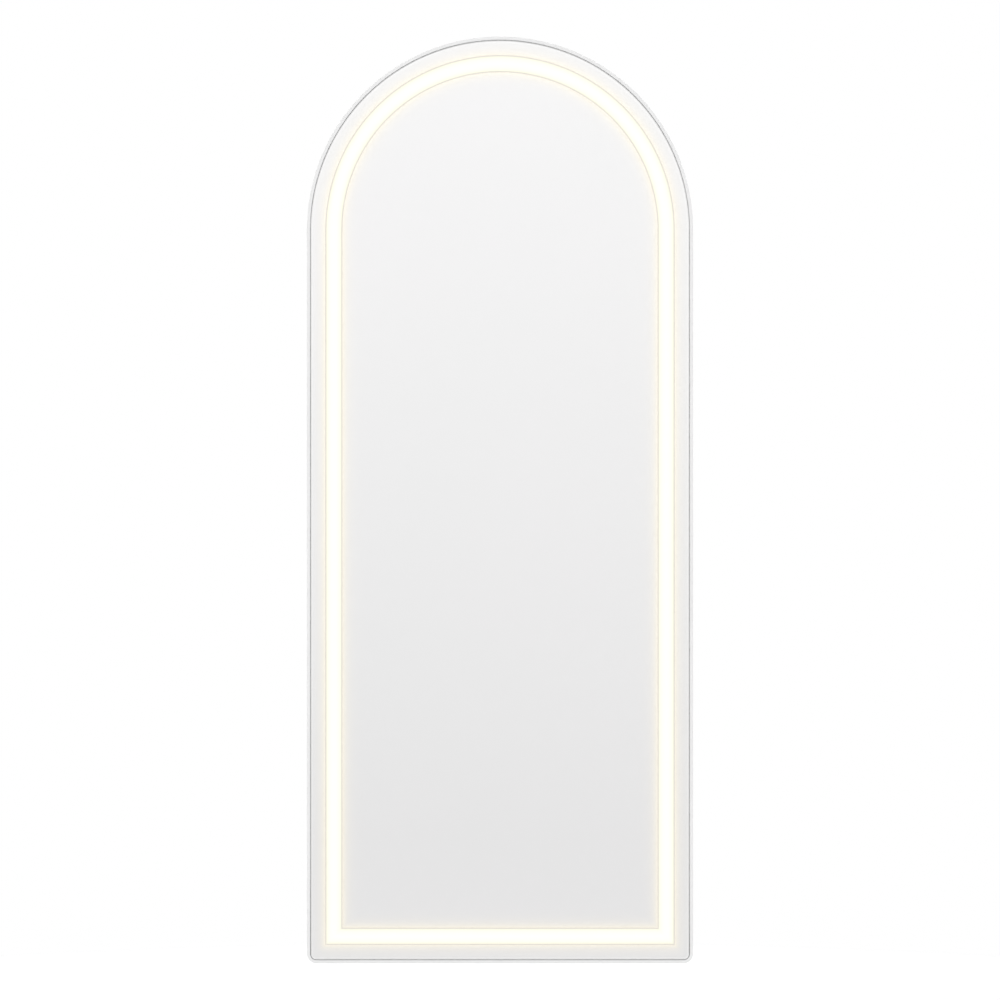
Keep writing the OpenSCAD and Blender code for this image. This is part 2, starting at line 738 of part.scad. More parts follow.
// Leads in the wiring box: two from the terminal block to the driver, one to the earth terminal
// and one from the driver to the hub
lead_z = tray_floor - terminal[2] / 2;
lead_y = terminal_y + terminal[1] / 2;
driver_end = driver[0] / 2 + touch;
mains_routes = [for (i = [0, 1])
    let (
        x = terminal_x + (i - 1) * way,
        y = feed_y - 6 + i * 6,
        turn = driver_x - driver_end - 20 + i * 6,
        top = driver_y + 6 - i * 12
    )
    [[x, lead_y - 4, lead_z], [x, lead_y + 3, lead_z], [x, y, lead_z], [turn, y, lead_z],
    [turn, top, lead_z], [driver_x - driver_end, top, lead_z]]];
earth_route = [
    [terminal_x + way, lead_y - 4, lead_z], [terminal_x + way, lead_y + 3, lead_z],
    [terminal_x + way, lead_y + 10, lead_z], [earth_x, lead_y + 10, lead_z],
    [earth_x, earth_y + earth_r + slip, lead_z]
];
output_z = cable_z + 9;
output_route = [
    [driver_x + driver_end, driver_y - 14, output_z], [hub_x - 4, driver_y - 14, output_z],
    [hub_x, driver_y - 18, output_z], [hub_x, hub_y + 4, output_z]
];

module driver_leads() color("firebrick") upright() {
    for (route = concat(mains_routes, [earth_route])) tube(route, lead_r);
    tube(output_route, cable_r - 0.4);
}

// Cables from the hub, through the box's sides and the channel's, to the two upright strips
module cable(x0, x1, y) translate([x0, y, cable_z]) rotate([0, 90, 0]) cylinder(r = cable_r, h = x1 - x0);
strip_face = half_w - strip_in - touch;

module feed_cable_left() color("white") upright() cable(-strip_face, hub_x - hub[0] / 2 + plug_in, feed_y);

module feed_cable_right() color("white") upright() cable(hub_x + hub[0] / 2 - plug_in, strip_face, feed_y);

// The button's cable: out of the board, down the gap beside the channel, then across to the hub
cable_start = half_w - board_u - board_t - touch;
cable_top = button_y - arm_y;
cable_bend = 12;
drop_mid = (cable_top + switch_y) / 2;

module switch_cable() color("white") upright() tube([
    [cable_start, cable_top, button_z], [cable_start - 3, cable_top, button_z],
    [gap_x, cable_top, button_z], [gap_x, cable_top - 2 * cable_bend, button_z - 3],
    [gap_x, cable_top - 5 * cable_bend, cable_z], [gap_x, drop_mid, cable_z],
    [gap_x, switch_y + cable_bend, cable_z], [gap_x, switch_y, cable_z],
    [gap_x - cable_bend, switch_y, cable_z], [hub_x + hub[0] / 2 + plug_in, switch_y, cable_z],
    [hub_x + hub[0] / 2 - plug_in, switch_y, cable_z]
], cable_r);

// Clips bonded to the panel, each round a straight stretch of cable: place and direction
clip_w = 9;
clip_x = (half_w - channel_in + box_w / 2) / 2;
clip_spots = [
    [-clip_x, feed_y, 90], [clip_x, feed_y, 90], [clip_x - 3 * clip_w, switch_y, 90],
    [gap_x, drop_mid, 0], [gap_x, (drop_mid + switch_y) / 2, 0]
];

module cable_clips() color("white") upright() for (c = clip_spots)
    translate([c[0], c[1], 0]) rotate(c[2]) difference() {
        translate([-clip_w / 2, -clip_w / 2, panel_front])
            cube([clip_w, clip_w, cable_z + cable_r + 1.5 - panel_front]);
        translate([0, 0, cable_z]) rotate([90, 0, 0]) cylinder(r = cable_hole, h = clip_w + 2, center = true);
    }

// Push button in the frame's right side. u is measured in from the outside of the frame
module at_button(u) translate([half_w - u, button_y, button_z]) rotate([0, -90, 0]) children();

module button_cap() color("gainsboro") upright() {
    at_button(cap_sink) cylinder(r = button_r, h = cap_shoulder_u - cap_sink + weld);
    at_button(cap_shoulder_u) cylinder(r = cap_shoulder_r, h = cap_shoulder_t);
    at_button(cap_shoulder_u + weld) cylinder(r = cap_stem_r, h = cap_stem_end - cap_shoulder_u - weld);
}

module switch_plunger() color("black") upright()
    at_button(cap_stem_end) cylinder(r = plunger_r, h = switch_u + plunger_in - cap_stem_end);

module button_housing() color("gray") upright() difference() {
    union() {
        translate([half_w - housing_end, button_y - housing_h / 2, button_z - housing_w / 2])
            cube([housing_end - frame_wall - fit, housing_h, housing_w]);
        for (s = [-1, 1])
            translate([half_w - board_u, button_y + s * arm_y - arm_t / 2, button_z - arm_w / 2])
                cube([board_u - frame_wall - fit, arm_t, arm_w]);
    }
    at_button(0) cylinder(r = cap_shoulder_r + slip, h = cap_bore_end);
    at_button(0) cylinder(r = cap_stem_r + slip, h = housing_end + over);
}

module switch_body() color("dimgray") upright() difference() {
    at_button(switch_u) translate([-switch_w / 2, -switch_w / 2, 0]) cube([switch_w, switch_w, switch_t]);
    at_button(switch_u - over) cylinder(r = plunger_r + slip, h = over + plunger_in + button_travel + touch);
}

module dimmer_board() color("darkgreen") upright()
    translate([half_w - board_u - board_t, button_y - board_h / 2, button_z - board_w / 2])
        cube([board_t, board_h, board_w]);

frame();
frame_splice();
splice_screws();
mirror_glass();
silver_centre();
silver_border();
frosted_band();
glass_tape();
edge_seal();
setting_blocks();
back_panel();
panel_screws();
channel("arch");  // channel_arch
channel("left");  // channel_left
channel("right");  // channel_right
channel("bottom");  // channel_bottom
channel_rivets();
led_strip_arch();
led_strip_left();
led_strip_right();
led_strip_bottom();
strip_links();
diffuser("arch");  // diffuser_arch
diffuser("left");  // diffuser_left
diffuser("right");  // diffuser_right
diffuser("bottom");  // diffuser_bottom
hanger_bar();
hanger_backing();
hanger_screws();
lower_brace();
brace_screws();
wall_bumpers();
wiring_box();
box_cover();
box_screws();
cable_bush();
led_driver();
driver_screws();
terminal_block();
earth_terminal();
output_hub();
driver_leads();
box_bushes();
feed_cable_left();
feed_cable_right();
cable_clips();
button_housing();
button_cap();
switch_plunger();
switch_body();
dimmer_board();
switch_cable();
wall_rail();
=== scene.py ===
"""Looks of a full length mirror with an arched top, hung on a wall and lit from behind its glass.

Everything is in metres, in the frame of the solids: x to the right, z up, the front faces -y and
the wall is the plane y = 0.
"""

import math

import bmesh
import bpy
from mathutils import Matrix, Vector


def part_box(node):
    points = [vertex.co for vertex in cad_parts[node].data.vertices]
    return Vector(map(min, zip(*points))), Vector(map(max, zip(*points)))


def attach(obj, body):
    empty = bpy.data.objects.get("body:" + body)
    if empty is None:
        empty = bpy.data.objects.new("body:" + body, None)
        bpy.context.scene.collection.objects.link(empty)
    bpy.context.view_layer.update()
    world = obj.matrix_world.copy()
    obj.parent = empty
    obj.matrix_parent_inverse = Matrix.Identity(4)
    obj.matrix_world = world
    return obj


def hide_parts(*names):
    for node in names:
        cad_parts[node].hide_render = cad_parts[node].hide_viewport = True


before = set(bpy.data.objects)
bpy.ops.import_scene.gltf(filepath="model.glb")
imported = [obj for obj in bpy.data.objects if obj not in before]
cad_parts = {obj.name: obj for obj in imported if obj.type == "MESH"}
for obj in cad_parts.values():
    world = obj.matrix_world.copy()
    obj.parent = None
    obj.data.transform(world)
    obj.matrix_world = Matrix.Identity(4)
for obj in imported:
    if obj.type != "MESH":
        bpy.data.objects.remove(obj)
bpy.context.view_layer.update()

MM = 0.001

# Outline, from the frame's own box: a level foot, two straight sides and a half circle on top
low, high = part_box("frame")
HALF_W = high.x
TOP = high.z
FOOT = low.z
SPRING = TOP - HALF_W
FRONT = low.y
MIDDLE = (TOP + FOOT) / 2

# Insets from the outside of the frame, and levels along y, from the glass and what lies behind it
glass_low, glass_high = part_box("mirror_glass")
band_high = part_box("frosted_band")[1]
centre_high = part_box("silver_centre")[1]
GLASS_INSET = HALF_W - glass_high.x
BAND_OUT = HALF_W - band_high.x
BAND_IN = HALF_W - centre_high.x
GLASS_FRONT = glass_low.y
GLASS_BACK = glass_high.y
LAYER_BACK = band_high.y

# Lower corners of the frame, polished arris of the glass, and the gap between glass and layers
CORNER_R = 19 * MM
ARRIS = 0.8 * MM
GLASS_GAP = 0.04 * MM
GLASS_CORNER = CORNER_R - GLASS_INSET
LAYER_FRONT = GLASS_BACK + GLASS_GAP

# Line at the edge of the etching along each side of the lit band, where its glow is painted dimmer as
# shade
EDGE_LINE = 2.4 * MM
HALF_LINE = EDGE_LINE / 2

# Steps round each curve
ARC_STEPS = 192
CORNER_STEPS = 8
ARRIS_STEPS = 2

# Limits in a sheet's mesh: distance of doubled points, a flat face's normal along y, smooth angle
WELD = 0.001 * MM
FLAT_FACE = 0.9999
SMOOTH_ANGLE = math.radians(30)


# Outlines and sheets

def arc(cx, cz, r, start, end, steps):
    """Points round a centre, from one angle to the other in degrees."""
    angles = [math.radians(start + (end - start) * i / steps) for i in range(steps + 1)]
    return [(cx + r * math.cos(a), cz + r * math.sin(a)) for a in angles]


def outline(inset, foot_r=0):
    """The mirror's outline set in all round, as points from the right springing over the top."""
    half = HALF_W - inset
    foot = FOOT + inset
    points = arc(0, SPRING, half, 0, 180, ARC_STEPS)
    if foot_r > 0:
        points += arc(-half + foot_r, foot + foot_r, foot_r, 180, 270, CORNER_STEPS)
        points += arc(half - foot_r, foot + foot_r, foot_r, 270, 360, CORNER_STEPS)
    else:
        points += [(-half, foot), (half, foot)]
    return points


def filled_curve(name, outlines):
    """A flat curve that fills the first outline and leaves the others open."""
    curve = bpy.data.curves.new(name, "CURVE")
    curve.dimensions = "2D"
    curve.fill_mode = "BOTH"
    for points in outlines:
        spline = curve.splines.new("POLY")
        spline.points.add(len(points) - 1)
        for point, (across, along) in zip(spline.points, points):
            point.co = (across, along, 0, 1)
        spline.use_cyclic_u = True
    return curve


def in_scene(name, data):
    """A new object in the scene, at the origin."""
    made = bpy.data.objects.new(name, data)
    bpy.context.scene.collection.objects.link(made)
    return made


def plate(name, outlines, y_front, y_back, bevel=0):
    """An upright sheet inside the first outline and outside the others, with bevelled rims."""
    curve = filled_curve(name, outlines)
    curve.extrude = (y_back - y_front) / 2 - bevel
    curve.bevel_depth = bevel
    curve.bevel_resolution = ARRIS_STEPS if bevel else 0
    curve.offset = -bevel
    holder = in_scene(name + "_curve", curve)
    depsgraph = bpy.context.evaluated_depsgraph_get()
    mesh = bpy.data.meshes.new_from_object(holder.evaluated_get(depsgraph))
    bpy.data.objects.remove(holder)
    middle = (y_front + y_back) / 2
    for vertex in mesh.vertices:
        x, z, out = vertex.co
        vertex.co = (x, middle - out, z)
    mesh.name = name
    mesh.materials.clear()
    finish_sheet(mesh)
    return in_scene(name, mesh)


def finish_sheet(mesh):
    """Joins doubled points and smooths the rim, while the two faces stay exactly flat."""
    mesh.validate()
    work = bmesh.new()
    work.from_mesh(mesh)
    bmesh.ops.remove_doubles(work, verts=work.verts, dist=WELD)
    bmesh.ops.recalc_face_normals(work, faces=work.faces)
    for face in work.faces:
        face.smooth = True
    for edge in work.edges:
        kinds = {abs(face.normal.y) > FLAT_FACE for face in edge.link_faces}
        edge.smooth = len(kinds) == 1 and edge.calc_face_angle(0) < SMOOTH_ANGLE
    work.to_mesh(mesh)
    work.free()


# Shader helpers

NOISE_RANGE = (0.3, 0.7)


class Nodes:
    """Short ways to add nodes to a tree. A value is a number, a colour, or a node's output."""

    def __init__(self, tree):
        self.tree = tree

    def join(self, value, socket):
        """Links an output to the socket, or sets the socket to a plain value."""
        if isinstance(value, bpy.types.NodeSocket):
            self.tree.links.new(value, socket)
        elif socket.type == "RGBA":
            socket.default_value = (*value, 1)
        else:
            socket.default_value = value

    def add(self, kind, inputs=None, **settings):
        """A new node with its settings, and with its inputs joined by name or number."""
        made = self.tree.nodes.new(kind)
        for key, value in settings.items():
            setattr(made, key, value)
        for key, value in (inputs or {}).items():
            self.join(value, made.inputs[key])
        return made

    def math(self, operation, first, second=0.0):
        """The result of an operation on one or two values."""
        made = self.add("ShaderNodeMath", {0: first, 1: second}, operation=operation)
        return made.outputs[0]

    def remap(self, source, start, end, low_value, high_value):
        """Takes the range from start to end to the one between two values, and stops there."""
        inputs = {"Value": source, "From Min": start, "From Max": end}
        inputs.update({"To Min": low_value, "To Max": high_value})
        return self.add("ShaderNodeMapRange", inputs).outputs["Result"]

    def blend(self, factor, first, second):
        """A number that goes from the first to the second as the factor goes from 0 to 1."""
        inputs = {"Factor": factor, "A": first, "B": second}
        return self.add("ShaderNodeMix", inputs, data_type="FLOAT").outputs["Result"]

    def mix(self, factor, first, second):
        """A colour that goes from the first to the second as the factor goes from 0 to 1."""
        made = self.add("ShaderNodeMix", {"Factor": factor}, data_type="RGBA")
        ends = [socket for socket in made.inputs if socket.type == "RGBA"]
        for value, socket in zip((first, second), ends):
            self.join(value, socket)
        return next(socket for socket in made.outputs if socket.type == "RGBA")

    def axes(self, place):
        """The X, Y and Z of a place."""
        return self.add("ShaderNodeSeparateXYZ", {0: place}).outputs

    def rays(self):
        """Outputs that are 1 for the camera's own rays, and for those of gloss and glass."""
        path = self.add("ShaderNodeLightPath").outputs
        in_gloss = self.math("MAXIMUM", path["Is Glossy Ray"], path["Is Transmission Ray"])
        return path["Is Camera Ray"], in_gloss


class Shader(Nodes):
    """A material with one Principled shader, and short ways to give it a texture."""

    def __init__(self, name, colour, roughness, metallic=0.0):
        self.material = bpy.data.materials.new(name)
        self.material.use_nodes = True
        super().__init__(self.material.node_tree)
        self.bsdf = self.tree.nodes["Principled BSDF"]
        self.output = self.tree.nodes["Material Output"]
        self.feed(colour, "Base Color")
        self.feed(roughness, "Roughness")
        self.feed(metallic, "Metallic")
        self.place = self.add("ShaderNodeTexCoord").outputs["Object"]

    def feed(self, value, socket):
        """Joins a value to a socket of the Principled shader."""
        self.join(value, self.bsdf.inputs[socket])

    def stretched(self, scale):
        """Object coordinates, scaled apart along x, y and z."""
        made = self.add("ShaderNodeMapping", {"Vector": self.place, "Scale": scale})
        return made.outputs[0]

    def noise(self, scale, detail=3.0, place=None):
        """Soft noise with so many waves a metre, over the object or over another place."""
        inputs = {"Vector": place or self.place, "Scale": scale, "Detail": detail}
        return self.add("ShaderNodeTexNoise", inputs).outputs["Fac"]

    def cells(self, scale):
        """The outputs of a pattern of cells, so many a metre."""
        return self.add("ShaderNodeTexVoronoi", {"Vector": self.place, "Scale": scale}).outputs

    def spread(self, source, low_value, high_value):
        """Takes the range in which most of a noise lies to the one between two values."""
        return self.remap(source, *NOISE_RANGE, low_value, high_value)

    def bump(self, height, strength, distance, below=None):
        """Bumps on the shader's surface, over another bump if one is given."""
        inputs = {"Height": height, "Strength": strength, "Distance": distance}
        if below:
            inputs["Normal"] = below
        normal = self.add("ShaderNodeBump", inputs).outputs["Normal"]
        self.feed(normal, "Normal")
        return normal

    def vary(self, colour, other, scale, detail=3.0, place=None, socket="Base Color"):
        """Drifts a colour of the shader between two close colours."""
        drift = self.spread(self.noise(scale, detail, place), 0, 1)
        self.feed(self.mix(drift, colour, other), socket)

    def rough(self, low_value, high_value, scale, detail=3.0):
        """Drifts the roughness between two values."""
        self.feed(self.spread(self.noise(scale, detail), low_value, high_value), "Roughness")


def toned(colour, factor):
    """The colour times a factor, held to white."""
    return tuple(min(1.0, c * factor) for c in colour)


# Materials of the frame and the metal parts

def powder_coat(name, colour):
    """Satin powder coat: orange peel over a slow waviness, and a drift in its colour and sheen."""
    s = Shader(name, colour, roughness=0.42)
    slow = s.spread(s.noise(6, detail=2), 0, 1)
    specks = s.spread(s.noise(420, detail=4), 0, 0.5)
    base = s.mix(slow, colour, toned(colour, 0.965))
    s.feed(s.mix(specks, base, toned(colour, 0.95)), "Base Color")
    s.rough(0.34, 0.5, scale=40)
    waves = s.bump(s.noise(90, detail=2), strength=0.08, distance=0.3 * MM)
    s.bump(s.noise(700, detail=2), strength=0.22, distance=0.2 * MM, below=waves)
    s.feed(0.15, "Coat Weight")
    s.feed(0.25, "Coat Roughness")
    return s.material


def zinc_plate(name, colour):
    """Zinc plated sheet: faint spangle, rolling lines along x and dull patches."""
    s = Shader(name, colour, roughness=0.34, metallic=1)
    spangle = s.remap(s.cells(260)["Color"], 0.1, 0.9, 0, 0.5)
    lines = s.noise(1, detail=4, place=s.stretched((9, 700, 700)))
    tone = s.mix(spangle, colour, toned(colour, 0.86))
    s.feed(s.mix(s.spread(lines, 0, 0.5), tone, toned(colour, 1.12)), "Base Color")
    s.rough(0.27, 0.46, scale=14, detail=5)
    s.bump(lines, strength=0.08, distance=0.1 * MM)
    return s.material


def plated_hardware(name, colour):
    """Plated screws and rivets: a fine grain, and duller spots where the plating is thin."""
    s = Shader(name, colour, roughness=0.3, metallic=1)
    s.vary(colour, toned(colour, 0.86), scale=950, detail=4)
    s.rough(0.22, 0.42, scale=900)
    s.bump(s.noise(1800, detail=2), strength=0.1, distance=0.05 * MM)
    return s.material


def spun_metal(name, colour, centre):
    """A turned cap that faces along x: fine rings round its centre."""
    s = Shader(name, colour, roughness=0.26, metallic=1)
    off_centre = s.add("ShaderNodeVectorMath", {0: s.place, 1: centre}, operation="SUBTRACT")
    flat_inputs = {0: off_centre.outputs[0], 1: (0, 1, 1)}
    flat = s.add("ShaderNodeVectorMath", flat_inputs, operation="MULTIPLY")
    radius = s.add("ShaderNodeVectorMath", {0: flat.outputs[0]}, operation="LENGTH")
    across = s.add("ShaderNodeCombineXYZ", {"X": radius.outputs["Value"]})
    rings = s.noise(3600, detail=2, place=across.outputs[0])
    s.feed(s.mix(s.spread(rings, 0, 1), colour, toned(colour, 0.84)), "Base Color")
    s.feed(s.spread(rings, 0.2, 0.36), "Roughness")
    s.bump(rings, strength=0.25, distance=0.03 * MM)
    return s.material


def drawn_metal(name, colour):
    """Drawn aluminium: lines that run up and down, in a satin finish."""
    s = Shader(name, colour, roughness=0.3, metallic=1)
    lines = s.noise(1, detail=3, place=s.stretched((1500, 1500, 12)))
    s.vary(colour, toned(colour, 0.88), scale=1, place=s.stretched((900, 900, 8)))
    s.feed(s.spread(lines, 0.24, 0.4), "Roughness")
    s.bump(lines, strength=0.06, distance=0.05 * MM)
    return s.material


def worn_brass(name, bright, dull):
    """Brass that has dulled in patches."""
    s = Shader(name, bright, roughness=0.3, metallic=1)
    s.vary(bright, dull, scale=350, detail=5)
    s.rough(0.22, 0.45, scale=600)
    s.bump(s.noise(1500, detail=2), strength=0.1, distance=0.05 * MM)
    return s.material


# Materials of plastics, rubber and board

RUBBER_BLOOM = 0.03
# Seal rubber: painted shade makes it darker along the foot, over a plain grey above
SEAL_FOOT_SHADE = (0.11, 0.11, 0.111)
SEAL_GREY = (0.38, 0.38, 0.382)
FOOT_SHADE_HEIGHT = 150 * MM
STRIP_LIGHT = 0.9


def moulded(name, colour, rough):
    """Moulded plastic: spark eroded grain and a slow drift in colour."""
    s = Shader(name, colour, roughness=rough)
    s.vary(colour, toned(colour, 0.93), scale=25)
    s.rough(rough - 0.06, rough + 0.08, scale=200)
    s.bump(s.noise(1400, detail=2), strength=0.18, distance=0.08 * MM)
    return s.material


def rubber(name, colour):
    """A shader with the fine pitted skin of rubber."""
    s = Shader(name, colour, roughness=0.78)
    s.rough(0.7, 0.88, scale=300)
    s.bump(s.noise(2200), strength=0.25, distance=0.06 * MM)
    return s


def soft_rubber(name, colour):
    """Rubber with a dusty bloom."""
    s = rubber(name, colour)
    s.vary(colour, tuple(c + RUBBER_BLOOM for c in colour), scale=60, detail=5)
    return s.material


def seal_rubber(name):
    """The rubber in the frame's open line: plain grey, with painted shade that darkens it along the
    foot.
    """
    s = rubber(name, SEAL_GREY)
    # Painted shade: darker at the foot, turning to plain grey within a short height
    above_foot_shade = s.remap(s.axes(s.place)["Z"], FOOT, FOOT + FOOT_SHADE_HEIGHT, 0, 1)
    bloom = s.spread(s.noise(60, detail=5), 0, 0.15)
    tone = s.mix(above_foot_shade, SEAL_FOOT_SHADE, SEAL_GREY)
    s.feed(s.mix(bloom, tone, SEAL_GREY), "Base Color")
    return s.material


def foam_tape(name, colour, cell_wall, shaded_hollow):
    """Closed cell foam, seen as small bubbles on the cut edge, with painted shade in their hollows."""
    s = Shader(name, colour, roughness=0.9)
    bubbles = s.cells(1600)["Distance"]
    # Painted shade darkens the hollows of the bubbles
    s.feed(s.mix(s.remap(bubbles, 0, 0.6, 0, 1), cell_wall, shaded_hollow), "Base Color")
    s.bump(bubbles, strength=0.5, distance=0.15 * MM)
    return s.material


def panel_board(name, colour, other, pore_shade):
    """White foamed board: a matt skin with fine pores painted darker as shade, and soft roller marks.
    """
    s = Shader(name, colour, roughness=0.62)
    base = s.mix(s.spread(s.noise(5, detail=4), 0, 1), colour, other)
    # Painted shade darkens the pores
    pore_shade_mask = s.remap(s.noise(1300, detail=2), 0.62, 0.74, 0, 0.35)
    s.feed(s.mix(pore_shade_mask, base, pore_shade), "Base Color")
    s.rough(0.52, 0.7, scale=30, detail=4)
    skin = s.bump(s.noise(1, detail=4, place=s.stretched((40, 40, 6))), strength=0.1, distance=0.4 * MM)
    s.bump(s.noise(1100), strength=0.22, distance=0.12 * MM, below=skin)
    return s.material


def circuit_board(name, mask, over_copper):
    """Solder mask over copper lines, which stand up a little under it."""
    s = Shader(name, mask, roughness=0.35)
    inputs = {"Vector": s.stretched((1, 0, 1)), "Scale": 150, "Mortar Size": 0.06}
    tracks = s.add("ShaderNodeTexBrick", inputs).outputs["Fac"]
    s.feed(s.mix(s.math("SUBTRACT", 1, tracks), over_copper, mask), "Base Color")
    s.rough(0.28, 0.42, scale=900)
    s.bump(tracks, strength=0.2, distance=0.05 * MM)
    return s.material


def cable_sheath(name, colour):
    """Extruded sheath: a drift in its colour and small scuffs."""
    s = Shader(name, colour, roughness=0.45)
    s.vary(colour, toned(colour, 0.85), scale=90, detail=5)
    s.rough(0.38, 0.56, scale=500)
    s.bump(s.noise(900), strength=0.15, distance=0.06 * MM)
    return s.material


def glowing_strip(name, colour):
    """Light strip and diffuser: a milky plastic with an even glow and slight mottling."""
    s = Shader(name, colour, roughness=0.5)
    s.vary(colour, toned(colour, 0.94), scale=130)
    s.vary(colour, toned(colour, 0.96), scale=30, socket="Emission Color")
    s.feed(STRIP_LIGHT, "Emission Strength")
    s.rough(0.42, 0.58, scale=300)
    s.bump(s.noise(1200, detail=2), strength=0.1, distance=0.05 * MM)
    return s.material


# Materials of the glass and what lies behind it

# Silver, its ripple, and the glow that the lit band throws on it
SILVER = (0.966, 0.96, 0.964)
RIPPLE_TONE = 0.995
RIPPLE = 0.4
GLOW_TINT = (0.55, 0.55, 0.52)
GLOW_LIGHT = (0.545, 0.488, 0.385)
GLOW_REACH = 8.5 * MM

# Rim of the silver: painted shade at the edge of the glass, and a painted bright line inside it
RIM_SHADE = (0.62, 0.62, 0.62)
RIM_LIGHT = 0.08
RIM_LINE = GLASS_INSET + 2.9 * MM
RIM_REACH = 0.9 * MM

# Lit band, and the line along each side of it, whose glow is painted dimmer as shade
BAND_WHITE = (1.0, 1.0, 1.0)
BAND_CREAM = (0.99, 0.985, 0.79)
BAND_GREY = (0.9, 0.9, 0.88)
BAND_GRAIN = 0.01
BAND_LIGHT = 1.01
CREAM_REACH = 7 * MM
LINE_SHADED_GLOW = (0.75, 0.71, 0.635)
UNLIT_BAND = (0.06, 0.06, 0.055)
UNLIT_LINE = (0.06, 0.058, 0.05)

# Glass
CLEAR = (1, 1, 1)
CLEAR_GREEN = (0.996, 0.999, 0.997)
GLASS_IOR = 1.5


def hypotenuse(s, first, second):
    """Length of a slope that goes so far across and so far up."""
    squares = [s.math("MULTIPLY", value, value) for value in (first, second)]
    return s.math("SQRT", s.math("ADD", *squares))


def insets_of(s):
    """Distances in from the outside of the frame: from its sides and arch, and from its foot."""
    axes = s.axes(s.place)
    above = s.math("MAXIMUM", s.math("SUBTRACT", axes["Z"], SPRING), 0)
    from_side = s.math("SUBTRACT", HALF_W, hypotenuse(s, axes["X"], above))
    return from_side, s.math("SUBTRACT", axes["Z"], FOOT)


def fade(s, distance, reach):
    """1 at no distance, falling away over the reach."""
    return s.math("EXPONENT", s.math("MULTIPLY", s.math("MAXIMUM", distance, 0), -1 / reach))


def silvering(name, edge, inwards):
    """Silver behind the glass, with the band's glow on it, painted shade at its rim and a painted
    bright line just inside that.
    """
    s = Shader(name, SILVER, roughness=0.0, metallic=1)
    insets = insets_of(s)
    inset = s.math("MINIMUM", *insets)
    if inwards:
        distance = s.math("SUBTRACT", inset, edge)
    else:
        outside = [s.math("MAXIMUM", s.math("SUBTRACT", edge, value), 0) for value in insets]
        distance = hypotenuse(s, *outside)
    glow = fade(s, distance, GLOW_REACH)
    ripple = s.spread(s.noise(3, detail=2), 0, RIPPLE)
    silver = s.mix(ripple, SILVER, toned(SILVER, RIPPLE_TONE))
    # Painted shade on the silver by the edge of the glass
    silver = s.mix(fade(s, s.math("SUBTRACT", inset, GLASS_INSET), RIM_REACH), silver, RIM_SHADE)
    lit_silver = tuple(a * b for a, b in zip(SILVER, GLOW_TINT))
    s.feed(s.mix(glow, silver, lit_silver), "Base Color")
    # Painted bright line of light just inside the rim
    off_line = s.math("ABSOLUTE", s.math("SUBTRACT", inset, RIM_LINE))
    rim = s.math("MULTIPLY", fade(s, off_line, RIM_REACH), RIM_LIGHT)
    s.feed(s.mix(glow, rim, GLOW_LIGHT), "Emission Color")
    s.feed(1, "Emission Strength")
    return s.material


def lit_band(name):
    """Etched band, lit from behind: white along its middle and creamy towards both sides."""
    s = Shader(name, UNLIT_BAND, roughness=0.7)
    inset = s.math("MINIMUM", *insets_of(s))
    from_outside = s.math("SUBTRACT", inset, BAND_OUT)
    from_side = s.math("MINIMUM", from_outside, s.math("SUBTRACT", BAND_IN, inset))
    cream = fade(s, s.math("SUBTRACT", from_side, HALF_LINE), CREAM_REACH)
    white = s.mix(cream, BAND_WHITE, BAND_CREAM)
    grain = s.spread(s.noise(1500, detail=2), BAND_GRAIN, 0)
    s.feed(s.mix(grain, white, BAND_GREY), "Emission Color")
    s.feed(BAND_LIGHT, "Emission Strength")
    s.feed(0, "Specular IOR Level")
    s.rough(0.6, 0.8, scale=900)
    s.bump(s.noise(2500, detail=2), strength=0.15, distance=0.03 * MM)
    return s.material


def shaded_edge_glow(name):
    """The line along each side of the band, at the edge of the etching: a glow painted dimmer and a
    dull warm beige, as shade.
    """
    s = Shader(name, UNLIT_LINE, roughness=0.6)
    # Painted shade: the line glows a dimmer beige than the band
    s.vary(LINE_SHADED_GLOW, toned(LINE_SHADED_GLOW, 0.96), scale=700, socket="Emission Color")
    s.feed(1, "Emission Strength")
    s.rough(0.5, 0.7, scale=900)
    return s.material


def clear_glass(name):
    """Clear float glass with polished faces, here and there faintly green."""
    s = Shader(name, CLEAR, roughness=0.0)
    s.vary(CLEAR, CLEAR_GREEN, scale=2, detail=2)
    s.feed(1, "Transmission Weight")
    s.feed(GLASS_IOR, "IOR")
    return s.material


# New pieces: the glass and the layers behind it

def dress(piece, node, material):
    """Gives a sheet its material and its slot, and lets it ride on the mirror."""
    piece.data.materials.append(material)
    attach(piece, "mirror")
    if node:
        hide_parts(node)


def layer(name, node, outlines, material):
    """A thin sheet just behind the glass."""
    dress(plate(name, outlines, LAYER_FRONT, LAYER_BACK), node, material)


glass_outline = outline(GLASS_INSET, GLASS_CORNER)
glass = plate("glass_sheet", [glass_outline], GLASS_FRONT, GLASS_BACK, ARRIS)
dress(glass, "mirror_glass", clear_glass("glass_clear"))

middle_silver = silvering("silver_inside_band", BAND_IN + HALF_LINE, inwards=True)
border_silver = silvering("silver_outside_band", BAND_OUT - HALF_LINE, inwards=False)
layer("silver_middle_sheet", "silver_centre", [outline(BAND_IN + HALF_LINE)], middle_silver)
border_outlines = [glass_outline, outline(BAND_OUT - HALF_LINE)]
layer("silver_border_sheet", "silver_border", border_outlines, border_silver)
band_outlines = [outline(BAND_OUT + HALF_LINE), outline(BAND_IN - HALF_LINE)]
layer("lit_band_sheet", "frosted_band", band_outlines, lit_band("band_lit"))

shaded_glow_material = shaded_edge_glow("band_edge_shaded_glow")
for name, inset in (("band_line_outer", BAND_OUT), ("band_line_inner", BAND_IN)):
    line_outlines = [outline(inset - HALF_LINE), outline(inset + HALF_LINE)]
    layer(name, None, line_outlines, shaded_glow_material)


# Materials for the solids that stay

